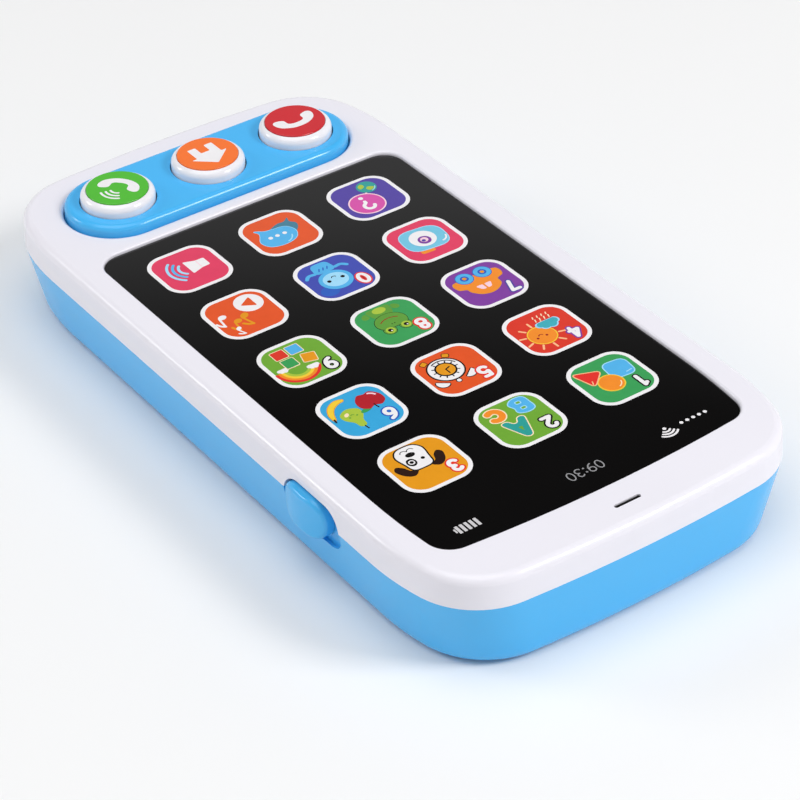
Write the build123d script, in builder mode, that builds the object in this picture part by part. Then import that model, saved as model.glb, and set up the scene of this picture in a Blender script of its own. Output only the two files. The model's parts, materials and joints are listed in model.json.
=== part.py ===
from build123d import *
from math import pi, radians, tan
import os

# Toy cell phone: a two-shell case with a printed touch panel, three push buttons and a side switch.
#
# The phone lies on its back. +Z is up out of the screen, +Y points to the earpiece end, +X to the
# side that carries the switch. The origin is the middle of the resting face. All sizes are in mm.
# A pair such as (x0, x1) is a low and a high limit along one axis.

# ---- case -------------------------------------------------------------------------------------
WIDTH = 79.4
LENGTH = 155.2
PARTING_Z = 14.6            # line where the white and the blue shell meet
CASE_TOP_Z = 20.75
SHOULDER_LENGTH = 24.0      # each side starts to curve in this far from the end
SHOULDER_DEPTH = 5.2        # where side and end curves would cross, measured in from the side
END_BOW = 1.85              # ... and in from the end
CORNER_R = 14.5
BASE_CORNER_EASE = 4.0      # the corners grow this much rounder down to the base
SIDE_DRAFT = 10.5           # lean of the blue shell's long walls, degrees
END_DRAFT = 5.0
BASE_EDGE_R = 3.0
TOP_EDGE_R = 1.6
WALL = 2.2
FLOOR_T = 2.0
CEILING_Z = CASE_TOP_Z - 2.0
ROOT = 0.5                  # how far ribs and posts are sunk into the wall they stand on
THROUGH = 1.0               # how far a cutter runs past the face it opens

LIP_INSET = 1.25            # locating lip of the blue shell
LIP_H = 1.2
LIP_GAP = 0.15

CASE_SCREWS = [(27.0, -40.0), (-27.0, -40.0), (26.0, 63.5), (-26.0, 63.5)]
SCREW_SEAT_Z = 6.5          # depth of the screw counterbores
COUNTERBORE_R = 3.0
CLEARANCE_R = 1.6
POST_R = 4.2
POST_TOP_Z = 9.5
BOSS_R = 3.2
BOSS_BORE_R = 1.25
BOSS_BORE_TOP_Z = 16.8

# ---- screen -----------------------------------------------------------------------------------
SCREEN_Z = 20.0             # glossy front of the panel, just below the rim
PANEL_T = 1.2
SENSOR_T = 0.3
SEAT_T = 1.3
PANEL_Z = SCREEN_Z - PANEL_T
SENSOR_Z = PANEL_Z - SENSOR_T
SEAT_Z = SENSOR_Z - SEAT_T
SCREEN_HALF_W = 34.06
SCREEN_LOW_Y = -45.8
SCREEN_CROWN_Y = 66.6
SCREEN_SHOULDER_Y = 46.0    # the sides start to curve in here
SCREEN_CORNER = (32.7, 64.9)
SCREEN_LOW_R = 4.7
SCREEN_HIGH_R = 4.8
RIM_EDGE_R = 0.6
PANEL_FIT = 0.12
SENSOR_MARGIN = 2.6         # the film stops this far inside the opening
SENSOR_FIT = 0.2
TAIL_HALF_W = 5.0           # the film's flat tail
TAIL_X = (-TAIL_HALF_W - 1.2, TAIL_HALF_W + 1.2)
EARPIECE = (0.2, 72.2)
EARPIECE_SLOT = (5.6, 0.9)
EARPIECE_DEPTH = 0.8

# ---- buttons ----------------------------------------------------------------------------------
BUTTON_X = -0.3             # middle of the row
BUTTON_Y = -59.7
BUTTON_PITCH = 20.7
BUTTONS = {"end": BUTTON_X - BUTTON_PITCH, "home": BUTTON_X, "call": BUTTON_X + BUTTON_PITCH}
BUTTON_TRAVEL = 1.4
CAP_R = 7.35
CAP_TOP_Z = 24.95
CAP_SHOULDER_R = 1.5
CAP_WALL = 1.6
CAP_CEILING_Z = CAP_TOP_Z - 1.8
CAP_FLANGE_R = 8.5
CAP_FLANGE_Z = 19.4
CAP_FLANGE_T = 1.0
LABEL_R = 6.1
LABEL_Z = CAP_TOP_Z - 0.4
LABEL_TOP_Z = 25.15
PLUNGER_R = 2.2
CAP_RIB_HALF_T = 0.5
CAP_RIB_Z = CAP_FLANGE_Z + CAP_FLANGE_T + 1.0
DOME_TOP_Z = 18.3
DOME_GAP = 0.05

PLATE = (62.6, 20.8)        # blue button surround
PLATE_Z = 17.3
PLATE_TOP_Z = 22.6
PLATE_T = 1.9
PLATE_WALL = 1.6
PLATE_EDGE_R = 1.2
PLATE_LIP_R = 0.9           # rounded lip of the white shell round the surround
PLATE_GAP = 0.3
PLATE_FLANGE = (PLATE[0] + 2.0, PLATE[1] + 2.0)
CAP_GAP = 0.25

# ---- main board -------------------------------------------------------------------------------
BOARD_Z = 14.6
BOARD_T = 1.6
BOARD_TOP_Z = BOARD_Z + BOARD_T
BOARD_X = (-28.5, 28.5)
BOARD_Y = (-72.0, -45.5)
BOARD_CORNER_R = 2.0
BOARD_SCREWS = [(x, BUTTON_Y + y) for x in (-BUTTON_PITCH / 2, BUTTON_PITCH / 2) for y in (-8.0, 8.0)]
BOARD_POST_R = 2.6
BLOB = (-20.5, -59.5)
BLOB_R = 4.5
BLOB_H = 1.5
CAPACITOR_X = 22.5
CAPACITOR_Y = (-60.0, -52.0)
CAPACITOR_R = 2.5
CHIPS = [(0.0, -56.0), (0.0, -59.5), (0.0, -63.0), (-11.0, -60.0), (12.0, -58.5), (12.0, -61.5)]
CHIP_HALF_SIZE = (1.6, 0.8)
CHIP_H = 0.7
CONNECTOR_Y = (-49.4, -46.3)
CONNECTOR_H = 1.0

# ---- small self-tapping screws ----------------------------------------------------------------
HEAD_R = 1.9
HEAD_H = 0.9
SHANK_R = 0.75
PILOT_R = 0.8
CLEAR_R = 1.1
SLOT_HALF = (1.2, 0.2)
SLOT_DEPTH = 0.4

# ---- side switch ------------------------------------------------------------------------------
SWITCH_Y = 35.5             # middle of the recess and of the travel
SWITCH_Z = PARTING_Z - 1.0
SWITCH_TRAVEL = 3.4
KNOB_Y = SWITCH_Y - SWITCH_TRAVEL / 2
RECESS = (17.0, 9.0)
RECESS_X = 37.9
RECESS_PAD = 1.5            # backing around the recess
RECESS_PAD_T = 1.6
RECESS_PAD_TOP_Z = CEILING_Z - 0.15
KNOB = (12.7, 8.2)
KNOB_X = 41.1               # outermost point of the knob
KNOB_BULGE = 1.7
KNOB_EDGE_R = 0.9
STEM_Z = 12.6
STEM_HALF_W = 2.0
STEM_HALF_H = 1.4
CAN_X = (28.6, 33.0)
CAN_HALF_W = 6.6
CAN_Z = (STEM_Z - 2.7, STEM_Z + 1.9)
EAR_T = 0.4
EAR_HALF_W = 11.6
EARS_Y = (SWITCH_Y - 9.4, SWITCH_Y + 9.4)
EAR_Z = STEM_Z - 0.4
LEVER_HALF = 0.8
LEVER_FIT = 0.1
PIN_L = 2.2
PINS_Y = (SWITCH_Y - 4.0, SWITCH_Y, SWITCH_Y + 4.0)

# ---- power ------------------------------------------------------------------------------------
CELL_R = 5.2
CELL_L = 44.2
CELL_X = 6.0
CELL_Y = (-38.8, -38.8 + CELL_L)
CELL_Z = 7.65
CAP_NUB_R = 1.9
CAP_NUB_L = 0.8
BAY_X = 12.2
BAY_Y = (-42.5, 10.2)
BAY_WALL = 1.5
BAY_ROOF_Z = 13.1
BAY_ROOF_T = 1.2
CONTACT_HALF_W = 3.6
CONTACT_T = 0.4
CONTACT_Z = (4.8, 11.6)
CONTACT_BACK = 0.1          # air between a contact plate and the bay's end wall
BUMP_R = 1.6
TAG_HALF_W = 0.9
TAG_Z = (9.2, 9.6)
TAG_Y = BAY_Y[1] + BAY_WALL + 2.0
SPRING_TURNS = 3.5
SPRING_R = 3.0
SPRING_WIRE_R = 0.3

DOOR_X = 13.4
DOOR_PIVOT_Y = 12.3
DOOR_Z = 0.15
DOOR_GAP = 0.2
TONGUE_X = 6.0
TONGUE_Y = -50.3
TONGUE_TOP_Z = 3.0
SHELF_TOP_Z = 5.0
SHELF_MARGIN = 1.6
DOOR_SCREW_Y = -46.4
DOOR_POST_R = 3.2
DOOR_POST_TOP_Z = 10.5
DOOR_SCREW_HEAD_Z = (0.4, 1.65)
TABS_X = (-7.0, 7.0)
TAB_HALF_W = 3.0
TAB_REACH = 2.0             # the tabs hook this far past the pivot line
GRIP_RIBS = 5
GRIP_PITCH = 2.4

# ---- speaker ----------------------------------------------------------------------------------
SPEAKER_Y = 42.0
SPEAKER_R = 14.5
SEAT_RING_T = 1.4
GRILLE_HOLE_R = 0.9
GRILLE_RINGS = {4.2: 6, 8.4: 12}     # ring radius: number of holes
RETAINER_SCREWS_X = (-19.0, 19.0)
RETAINER_POST_Z = 7.0
RETAINER_Z = (5.9, 7.1)
RETAINER_TOP_Z = 8.2
RETAINER_R = 16.2
RETAINER_BORE_R = 11.4
RETAINER_SKIRT_R = (13.5, 14.3)
RETAINER_SKIRT_Z = 3.1

# ---- wires ------------------------------------------------------------------------------------
WIRE_R = 0.6
BEND_SHARE = 0.45           # share of the shorter run that a bend may use

os.makedirs("parts", exist_ok=True)


def save(piece, name):
    piece.label = name
    export_step(piece, f"parts/{name}.step")


# ---- shared outlines --------------------------------------------------------------------------
def case_outline(z, inset_x=0.0, inset_y=0.0, ease=0.0):
    """Plan of the case: straight sides, shouldered corners and gently bowed ends."""
    half_w = WIDTH / 2 - inset_x
    half_l = LENGTH / 2 - inset_y
    corner = (half_w - SHOULDER_DEPTH, half_l - END_BOW)
    with BuildSketch(Plane.XY.offset(z)) as outline:
        with BuildLine():
            side = Line((half_w, SHOULDER_LENGTH - half_l), (half_w, half_l - SHOULDER_LENGTH))
            upper = TangentArc(side @ 1, corner, tangent=side % 1)
            lower = mirror(upper, about=Plane.XZ)
            end = ThreePointArc(corner, (0, half_l), (-corner[0], corner[1]))
            mirror(end, about=Plane.XZ)
            mirror([side, upper, lower], about=Plane.YZ)
        make_face()
        corners = outline.vertices().filter_by(lambda v: abs(abs(v.X) - corner[0]) < 0.01)
        fillet(corners, CORNER_R + ease - (inset_x + inset_y) / 2)
    return outline.sketch


def screen_outline(z, grow=0.0):
    """Plan of the screen opening: square foot, sides that curve in to a crowned top edge."""
    half_w = SCREEN_HALF_W + grow
    corner = (SCREEN_CORNER[0] + grow, SCREEN_CORNER[1] + grow)
    with BuildSketch(Plane.XY.offset(z)) as outline:
        with BuildLine():
            foot = Line((-half_w, SCREEN_LOW_Y - grow), (half_w, SCREEN_LOW_Y - grow))
            side = Line(foot @ 1, (half_w, SCREEN_SHOULDER_Y))
            shoulder = TangentArc(side @ 1, corner, tangent=side % 1)
            ThreePointArc(corner, (0, SCREEN_CROWN_Y + grow), (-corner[0], corner[1]))
            mirror([side, shoulder], about=Plane.YZ)
        make_face()
        fillet(outline.vertices().group_by(Axis.Y)[0], SCREEN_LOW_R + grow)
        fillet(outline.vertices().filter_by(lambda v: abs(v.Y - corner[1]) < 0.01), SCREEN_HIGH_R + grow)
    return outline.sketch


def plate_outline(z, size, margin=0.0):
    """A stadium centred on the button row."""
    with BuildSketch(Plane.XY.offset(z)) as outline:
        with Locations((BUTTON_X, BUTTON_Y)):
            SlotOverall(size[0] + 2 * margin, size[1] + 2 * margin)
    return outline.sketch


def recess_pad(z, fit=0.0):
    """Backing of the switch recess between two heights, with room for it at a given fit."""
    with BuildSketch(Plane.YZ.offset(RECESS_X - RECESS_PAD_T)) as outline:
        with Locations((SWITCH_Y, SWITCH_Z)):
            SlotOverall(RECESS[0] + 2 * (RECESS_PAD + fit), RECESS[1] + 2 * (RECESS_PAD + fit))
        with Locations((SWITCH_Y, (z[0] + z[1]) / 2)):
            Rectangle(2 * RECESS[0], z[1] - z[0], mode=Mode.INTERSECT)
    return outline.sketch


# ---- shared solids, each joined to the part that is being built ------------------------------
def block(x, y, z, mode=Mode.ADD):
    """A box given by its limits along each axis."""
    with BuildSketch(Plane.XY.offset(z[0])) as base:
        with Locations(((x[0] + x[1]) / 2, (y[0] + y[1]) / 2)):
            Rectangle(x[1] - x[0], y[1] - y[0])
    extrude(base.sketch, amount=z[1] - z[0], mode=mode)


def plate(x, y, z, half_x, half_y, mode=Mode.ADD):
    """A box centred on (x, y)."""
    block((x - half_x, x + half_x), (y - half_y, y + half_y), z, mode)


def disc(x, y, r, z, mode=Mode.ADD):
    """An upright cylinder."""
    with BuildSketch(Plane.XY.offset(z[0])) as base:
        with Locations((x, y)):
            Circle(r)
    extrude(base.sketch, amount=z[1] - z[0], mode=mode)


def rod_x(y, z, r, x, mode=Mode.ADD):
    """A cylinder along X."""
    with BuildSketch(Plane.YZ.offset(x[0])) as base:
        with Locations((y, z)):
            Circle(r)
    extrude(base.sketch, amount=x[1] - x[0], mode=mode)


def rod_y(x, z, r, y, mode=Mode.ADD):
    """A cylinder along Y."""
    with BuildSketch(Plane.XZ.offset(-y[0])) as base:
        with Locations((x, z)):
            Circle(r)
    extrude(base.sketch, amount=y[0] - y[1], mode=mode)


def switch_oval(x, size, y, mode=Mode.ADD):
    """A stadium prism along X at the height of the switch."""
    with BuildSketch(Plane.YZ.offset(x[0])) as oval:
        with Locations((y, SWITCH_Z)):
            SlotOverall(*size)
    extrude(oval.sketch, amount=x[1] - x[0], mode=mode)


def cross_recess(x, y, z, half_l, half_w):
    """Cross-shaped driver recess."""
    plate(x, y, z, half_l, half_w, Mode.SUBTRACT)
    plate(x, y, z, half_w, half_l, Mode.SUBTRACT)


def small_screw(x, y, seat_z, tip_z):
    """Slotted self-tapping screw whose head stands on seat_z."""
    disc(x, y, HEAD_R, (seat_z, seat_z + HEAD_H))
    disc(x, y, SHANK_R, (tip_z, seat_z + 0.1))
    plate(x, y, (seat_z + HEAD_H - SLOT_DEPTH, seat_z + HEAD_H + THROUGH), *SLOT_HALF, Mode.SUBTRACT)


# ---- white upper shell ------------------------------------------------------------------------
with BuildPart() as top_case:
    loft([case_outline(PARTING_Z).face(), case_outline(CASE_TOP_Z, 0.25, 0.25).face()], ruled=True)
    fillet(top_case.faces().sort_by(Axis.Z)[-1].edges(), TOP_EDGE_R)
    extrude(case_outline(PARTING_Z, WALL, WALL), amount=CEILING_Z - PARTING_Z, mode=Mode.SUBTRACT)
    # rebate that drops over the blue shell's lip
    rebate = LIP_INSET - LIP_GAP
    extrude(case_outline(PARTING_Z, rebate, rebate), amount=LIP_H + 0.2, mode=Mode.SUBTRACT)
    # screen seat and the bosses that stand on its underside
    extrude(screen_outline(SEAT_Z, 1.2), amount=CEILING_Z - SEAT_Z)
    for x, y in CASE_SCREWS:
        disc(x, y, BOSS_R, (POST_TOP_Z + 0.2, SEAT_Z + 0.1))
        disc(x, y, BOSS_BORE_R, (POST_TOP_Z, BOSS_BORE_TOP_Z), Mode.SUBTRACT)
    # screen opening, film pocket and the slot for the film's tail
    extrude(screen_outline(PANEL_Z), amount=PANEL_T + THROUGH, mode=Mode.SUBTRACT)
    fillet(top_case.faces().filter_by(Axis.Z).sort_by(Axis.Z)[-1].inner_wires().edges(), RIM_EDGE_R)
    extrude(screen_outline(SENSOR_Z, SENSOR_FIT - SENSOR_MARGIN), amount=SENSOR_T + 0.5, mode=Mode.SUBTRACT)
    block(TAIL_X, (-43.5, -41.4), (SEAT_Z - THROUGH, SCREEN_Z), Mode.SUBTRACT)
    # opening for the button surround
    extrude(plate_outline(PARTING_Z, PLATE, PLATE_GAP), amount=10, mode=Mode.SUBTRACT)
    lip = top_case.edges().filter_by(lambda e: abs(e.center().Z - CASE_TOP_Z) < 0.01
                                     and e.bounding_box().max.Y < BUTTON_Y + PLATE[1]
                                     and e.bounding_box().min.Y > BUTTON_Y - PLATE[1] / 2 - 2 * PLATE_GAP)
    fillet(lip, PLATE_LIP_R)
    # earpiece, a blind groove
    with BuildSketch(Plane.XY.offset(CASE_TOP_Z - EARPIECE_DEPTH)):
        with Locations(EARPIECE):
            SlotOverall(*EARPIECE_SLOT)
    extrude(amount=EARPIECE_DEPTH + THROUGH, mode=Mode.SUBTRACT)
    # upper half of the switch recess, and room for the blue shell's backing behind it
    extrude(recess_pad((PARTING_Z - THROUGH, CEILING_Z), 0.15), amount=RECESS_PAD_T + 0.1, mode=Mode.SUBTRACT)
    switch_oval((RECESS_X, WIDTH / 2 + THROUGH), RECESS, SWITCH_Y, Mode.SUBTRACT)
save(top_case.part, "top_case")

# ---- blue lower shell -------------------------------------------------------------------------
side_lean = PARTING_Z * tan(radians(SIDE_DRAFT))
end_lean = PARTING_Z * tan(radians(END_DRAFT))
with BuildPart() as cavity:
    lean_left = 1 - FLOOR_T / PARTING_Z
    loft([case_outline(FLOOR_T, WALL + side_lean * lean_left, WALL + end_lean * lean_left,
                       BASE_CORNER_EASE * lean_left).face(),
          case_outline(PARTING_Z, WALL, WALL).face()], ruled=True)
    fillet(cavity.faces().sort_by(Axis.Z)[0].edges(), BASE_EDGE_R - 1.8)

with BuildPart() as bottom_case:
    loft([case_outline(0, side_lean, end_lean, BASE_CORNER_EASE).face(), case_outline(PARTING_Z).face()],
         ruled=True)
    fillet(bottom_case.faces().sort_by(Axis.Z)[0].edges(), BASE_EDGE_R)
    add(cavity.part, mode=Mode.SUBTRACT)
    # locating lip
    extrude(case_outline(PARTING_Z - 1.0, LIP_INSET, LIP_INSET), amount=1.0 + LIP_H)
    extrude(case_outline(PARTING_Z - 1.0, WALL, WALL), amount=1.1 + LIP_H, mode=Mode.SUBTRACT)
    # posts for the case screws
    for x, y in CASE_SCREWS:
        disc(x, y, POST_R, (FLOOR_T - ROOT, POST_TOP_Z))
    # posts for the main board
    for x, y in BOARD_SCREWS:
        disc(x, y, BOARD_POST_R, (FLOOR_T - ROOT, BOARD_Z))
        disc(x, y, PILOT_R, (6.0, BOARD_Z), Mode.SUBTRACT)
    # battery bay: walls and roof, open below
    bay_x = BAY_X + BAY_WALL
    block((-bay_x, bay_x), (BAY_Y[0] - BAY_WALL, BAY_Y[1] + BAY_WALL), (FLOOR_T - ROOT, BAY_ROOF_Z + BAY_ROOF_T))
    block((-BAY_X, BAY_X), BAY_Y, (-THROUGH, BAY_ROOF_Z), Mode.SUBTRACT)
    # shelf and screw post over the door's tongue
    shelf_x = TONGUE_X + SHELF_MARGIN
    block((-shelf_x, shelf_x), (TONGUE_Y - SHELF_MARGIN, BAY_Y[0] - 0.5), (FLOOR_T - ROOT, SHELF_TOP_Z))
    disc(0, DOOR_SCREW_Y, DOOR_POST_R, (SHELF_TOP_Z - ROOT, DOOR_POST_TOP_Z))
    # door opening: main panel, then the narrower tongue under the shelf
    door_x = DOOR_X + DOOR_GAP
    block((-door_x, door_x), (BAY_Y[0] - 0.6, DOOR_PIVOT_Y), (-THROUGH, FLOOR_T), Mode.SUBTRACT)
    tongue_x = TONGUE_X + DOOR_GAP
    block((-tongue_x, tongue_x), (TONGUE_Y - DOOR_GAP, BAY_Y[0] + 1), (-THROUGH, TONGUE_TOP_Z + DOOR_GAP),
          Mode.SUBTRACT)
    disc(0, DOOR_SCREW_Y, 1.5, (TONGUE_TOP_Z, 9.2), Mode.SUBTRACT)
    # windows in the bay's end wall for the door's tabs, and slots for the contact tags
    for x in TABS_X:
        block((x - TAB_HALF_W - 0.3, x + TAB_HALF_W + 0.3), (BAY_Y[1] - 0.5, DOOR_PIVOT_Y + TAB_REACH + 1),
              (FLOOR_T, 4.5), Mode.SUBTRACT)
    for x in (-CELL_X, CELL_X):
        block((x - TAG_HALF_W - 0.3, x + TAG_HALF_W + 0.3), (BAY_Y[1] - 0.5, BAY_Y[1] + BAY_WALL + 0.5),
              (TAG_Z[0] - 0.6, TAG_Z[1] + 0.6), Mode.SUBTRACT)
    # counterbored case screw holes
    for x, y in CASE_SCREWS:
        disc(x, y, COUNTERBORE_R, (-THROUGH, SCREW_SEAT_Z), Mode.SUBTRACT)
        disc(x, y, CLEARANCE_R, (SCREW_SEAT_Z - 1, POST_TOP_Z + 1), Mode.SUBTRACT)
    # speaker seat, retainer posts and grille
    disc(0, SPEAKER_Y, SPEAKER_R + SEAT_RING_T + 0.2, (FLOOR_T - 0.3, 3.0))
    disc(0, SPEAKER_Y, SPEAKER_R + 0.2, (FLOOR_T, 4.0), Mode.SUBTRACT)
    for x in RETAINER_SCREWS_X:
        disc(x, SPEAKER_Y, 2.4, (FLOOR_T - 0.3, RETAINER_POST_Z))
        disc(x, SPEAKER_Y, PILOT_R, (3.0, RETAINER_POST_Z), Mode.SUBTRACT)
    with BuildSketch(Plane.XY.offset(-THROUGH)):
        with Locations((0, SPEAKER_Y)):
            Circle(GRILLE_HOLE_R)
            for ring_r, holes in GRILLE_RINGS.items():
                with PolarLocations(ring_r, holes):
                    Circle(GRILLE_HOLE_R)
    extrude(amount=FLOOR_T + 2 * THROUGH, mode=Mode.SUBTRACT)
    # lower half and backing of the switch recess, the stem's notch and the two screw posts of the switch
    extrude(recess_pad((PARTING_Z - RECESS[1], RECESS_PAD_TOP_Z)), amount=RECESS_PAD_T)
    switch_oval((RECESS_X, WIDTH / 2 + THROUGH), RECESS, SWITCH_Y, Mode.SUBTRACT)
    notch = STEM_HALF_W + 0.2 + SWITCH_TRAVEL / 2
    block((RECESS_X - RECESS_PAD_T - THROUGH, WIDTH / 2 + THROUGH), (SWITCH_Y - notch, SWITCH_Y + notch),
          (STEM_Z - STEM_HALF_H - 0.3, RECESS_PAD_TOP_Z + THROUGH), Mode.SUBTRACT)
    for y in EARS_Y:
        block((CAN_X[1] + EAR_T + 0.1, RECESS_X), (y - 2.1, y + 2.1), (6.0, PARTING_Z - 0.2))
        rod_x(y, EAR_Z, PILOT_R, (CAN_X[1], RECESS_X - 0.9), Mode.SUBTRACT)
save(bottom_case.part, "bottom_case")

# ---- screen -----------------------------------------------------------------------------------
with BuildPart() as screen_panel:
    extrude(screen_outline(PANEL_Z, -PANEL_FIT), amount=PANEL_T)
save(screen_panel.part, "screen_panel")

tail_z = BOARD_TOP_Z + 0.5
tail_y = -42.4
with BuildPart() as touch_sensor:
    extrude(screen_outline(SENSOR_Z, -SENSOR_MARGIN), amount=SENSOR_T)
    # flat tail: out of the film, down through the seat and back to the board's connector
    with BuildSketch(Plane.YZ.offset(-TAIL_HALF_W)):
        with BuildLine():
            bend = FilletPolyline((tail_y + 2.4, SENSOR_Z + 0.1), (tail_y, SENSOR_Z + 0.1), (tail_y, tail_z),
                                  (CONNECTOR_Y[1] + 0.1, tail_z), radius=0.6)
            offset(bend, amount=0.1, side=Side.BOTH)
        make_face()
    extrude(amount=2 * TAIL_HALF_W)
save(touch_sensor.part, "touch_sensor")

with BuildPart() as tail_connector:
    block((-TAIL_HALF_W - 1.0, TAIL_HALF_W + 1.0), CONNECTOR_Y, (BOARD_TOP_Z, BOARD_TOP_Z + CONNECTOR_H))
    fillet(tail_connector.edges().filter_by(Axis.Z), 0.3)
save(tail_connector.part, "tail_connector")

# ---- button surround and buttons --------------------------------------------------------------
with BuildPart() as button_surround:
    extrude(plate_outline(PLATE_Z, PLATE_FLANGE), amount=CEILING_Z - 0.1 - PLATE_Z)
    extrude(plate_outline(PLATE_Z, PLATE), amount=PLATE_TOP_Z - PLATE_Z)
    fillet(button_surround.faces().sort_by(Axis.Z)[-1].edges(), PLATE_EDGE_R)
    extrude(plate_outline(PLATE_Z, PLATE, -PLATE_WALL), amount=PLATE_TOP_Z - PLATE_T - PLATE_Z,
            mode=Mode.SUBTRACT)
    for x in BUTTONS.values():
        disc(x, BUTTON_Y, CAP_R + CAP_GAP, (PLATE_Z, PLATE_TOP_Z + THROUGH), Mode.SUBTRACT)
save(button_surround.part, "button_surround")

for name, x in BUTTONS.items():
    with BuildPart() as cap:
        disc(x, BUTTON_Y, CAP_R, (CAP_FLANGE_Z, CAP_TOP_Z))
        fillet(cap.faces().sort_by(Axis.Z)[-1].edges(), CAP_SHOULDER_R)
        disc(x, BUTTON_Y, CAP_FLANGE_R, (CAP_FLANGE_Z, CAP_FLANGE_Z + CAP_FLANGE_T))
        disc(x, BUTTON_Y, CAP_R - CAP_WALL, (CAP_FLANGE_Z - THROUGH, CAP_CEILING_Z), Mode.SUBTRACT)
        disc(x, BUTTON_Y, LABEL_R + 0.1, (LABEL_Z, CAP_TOP_Z + THROUGH), Mode.SUBTRACT)
        # plunger over the dome, stiffened by a cross of ribs
        disc(x, BUTTON_Y, PLUNGER_R, (DOME_TOP_Z + DOME_GAP, CAP_CEILING_Z + ROOT))
        rib_z = (CAP_RIB_Z, CAP_CEILING_Z + ROOT)
        rib_l = CAP_R - CAP_WALL + 0.1
        plate(x, BUTTON_Y, rib_z, rib_l, CAP_RIB_HALF_T)
        plate(x, BUTTON_Y, rib_z, CAP_RIB_HALF_T, rib_l)
    save(cap.part, f"{name}_button_cap")

    with BuildPart() as label:
        disc(x, BUTTON_Y, LABEL_R, (LABEL_Z, LABEL_TOP_Z))
        fillet(label.faces().sort_by(Axis.Z)[-1].edges(), 0.15)
    save(label.part, f"{name}_button_label")

    # half section of the rubber dome: button top, cone wall and foot ring
    with BuildPart() as dome:
        with BuildSketch(Plane.XZ.offset(-BUTTON_Y)):
            with BuildLine():
                Polyline((x, DOME_TOP_Z), (x + 1.7, DOME_TOP_Z), (x + 2.9, BOARD_TOP_Z + 0.7),
                         (x + 4.2, BOARD_TOP_Z + 0.6), (x + 4.2, BOARD_TOP_Z), (x + 2.4, BOARD_TOP_Z),
                         (x + 1.4, BOARD_TOP_Z + 1.2), (x, BOARD_TOP_Z + 1.2), close=True)
            make_face()
        revolve(axis=Axis((x, BUTTON_Y, 0), (0, 0, 1)))
    save(dome.part, f"{name}_rubber_dome")

# ---- main board and its components ------------------------------------------------------------
with BuildPart() as main_board:
    block(BOARD_X, BOARD_Y, (BOARD_Z, BOARD_TOP_Z))
    fillet(main_board.edges().filter_by(Axis.Z), BOARD_CORNER_R)
    for x, y in BOARD_SCREWS:
        disc(x, y, CLEAR_R, (BOARD_Z - THROUGH, BOARD_TOP_Z + THROUGH), Mode.SUBTRACT)
save(main_board.part, "main_board")

with BuildPart() as board_screws:
    for x, y in BOARD_SCREWS:
        small_screw(x, y, BOARD_TOP_Z, BOARD_Z - 5.5)
save(board_screws.part, "board_screws")

with BuildPart() as chip_blob:
    disc(*BLOB, BLOB_R, (BOARD_Z - BLOB_H, BOARD_Z))
    fillet(chip_blob.faces().sort_by(Axis.Z)[0].edges(), BLOB_H - 0.2)
save(chip_blob.part, "chip_blob")

with BuildPart() as capacitor:
    rod_y(CAPACITOR_X, BOARD_Z - CAPACITOR_R, CAPACITOR_R, CAPACITOR_Y)
    fillet(capacitor.edges().filter_by(GeomType.CIRCLE), 0.4)
save(capacitor.part, "capacitor")

with BuildPart() as board_chips:
    for x, y in CHIPS:
        plate(x, y, (BOARD_Z - CHIP_H, BOARD_Z), *CHIP_HALF_SIZE)
save(board_chips.part, "board_chips")

# ---- side switch ------------------------------------------------------------------------------
with BuildPart() as power_knob:
    switch_oval((RECESS_X + 0.1, KNOB_X + THROUGH), KNOB, KNOB_Y)
    # the outer face bulges along the travel and rolls off towards its edges
    bulge_y = KNOB[0] / 2 + 0.7
    with BuildSketch(Plane.XY.offset(SWITCH_Z - KNOB[1])):
        with BuildLine():
            Polyline((KNOB_X - KNOB_BULGE, KNOB_Y + bulge_y), (CAN_X[0], KNOB_Y + bulge_y),
                     (CAN_X[0], KNOB_Y - bulge_y), (KNOB_X - KNOB_BULGE, KNOB_Y - bulge_y))
            ThreePointArc((KNOB_X - KNOB_BULGE, KNOB_Y - bulge_y), (KNOB_X, KNOB_Y),
                          (KNOB_X - KNOB_BULGE, KNOB_Y + bulge_y))
        make_face()
    extrude(amount=2 * KNOB[1], mode=Mode.INTERSECT)
    fillet(power_knob.faces().sort_by(Axis.X)[-1].edges(), KNOB_EDGE_R)
    # stem through the wall, inner guide flange and the pocket that grips the switch lever
    stem_z = (STEM_Z - STEM_HALF_H, STEM_Z + STEM_HALF_H)
    block((CAN_X[1] + EAR_T + 0.3, RECESS_X + ROOT), (KNOB_Y - STEM_HALF_W, KNOB_Y + STEM_HALF_W), stem_z)
    block((RECESS_X - 2.7, RECESS_X - 1.8), (KNOB_Y - 4.4, KNOB_Y + 4.4), (STEM_Z - 2.4, STEM_Z + 1.8))
    grip = LEVER_HALF + LEVER_FIT
    block((CAN_X[1], RECESS_X - 1.9), (KNOB_Y - grip, KNOB_Y + grip), (STEM_Z - grip, STEM_Z + grip),
          Mode.SUBTRACT)
save(power_knob.part, "power_knob")

with BuildPart() as switch_lever:
    block((CAN_X[1] - 1.2, RECESS_X - 2.1), (KNOB_Y - LEVER_HALF, KNOB_Y + LEVER_HALF),
          (STEM_Z - LEVER_HALF, STEM_Z + LEVER_HALF))
save(switch_lever.part, "switch_lever")

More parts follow.
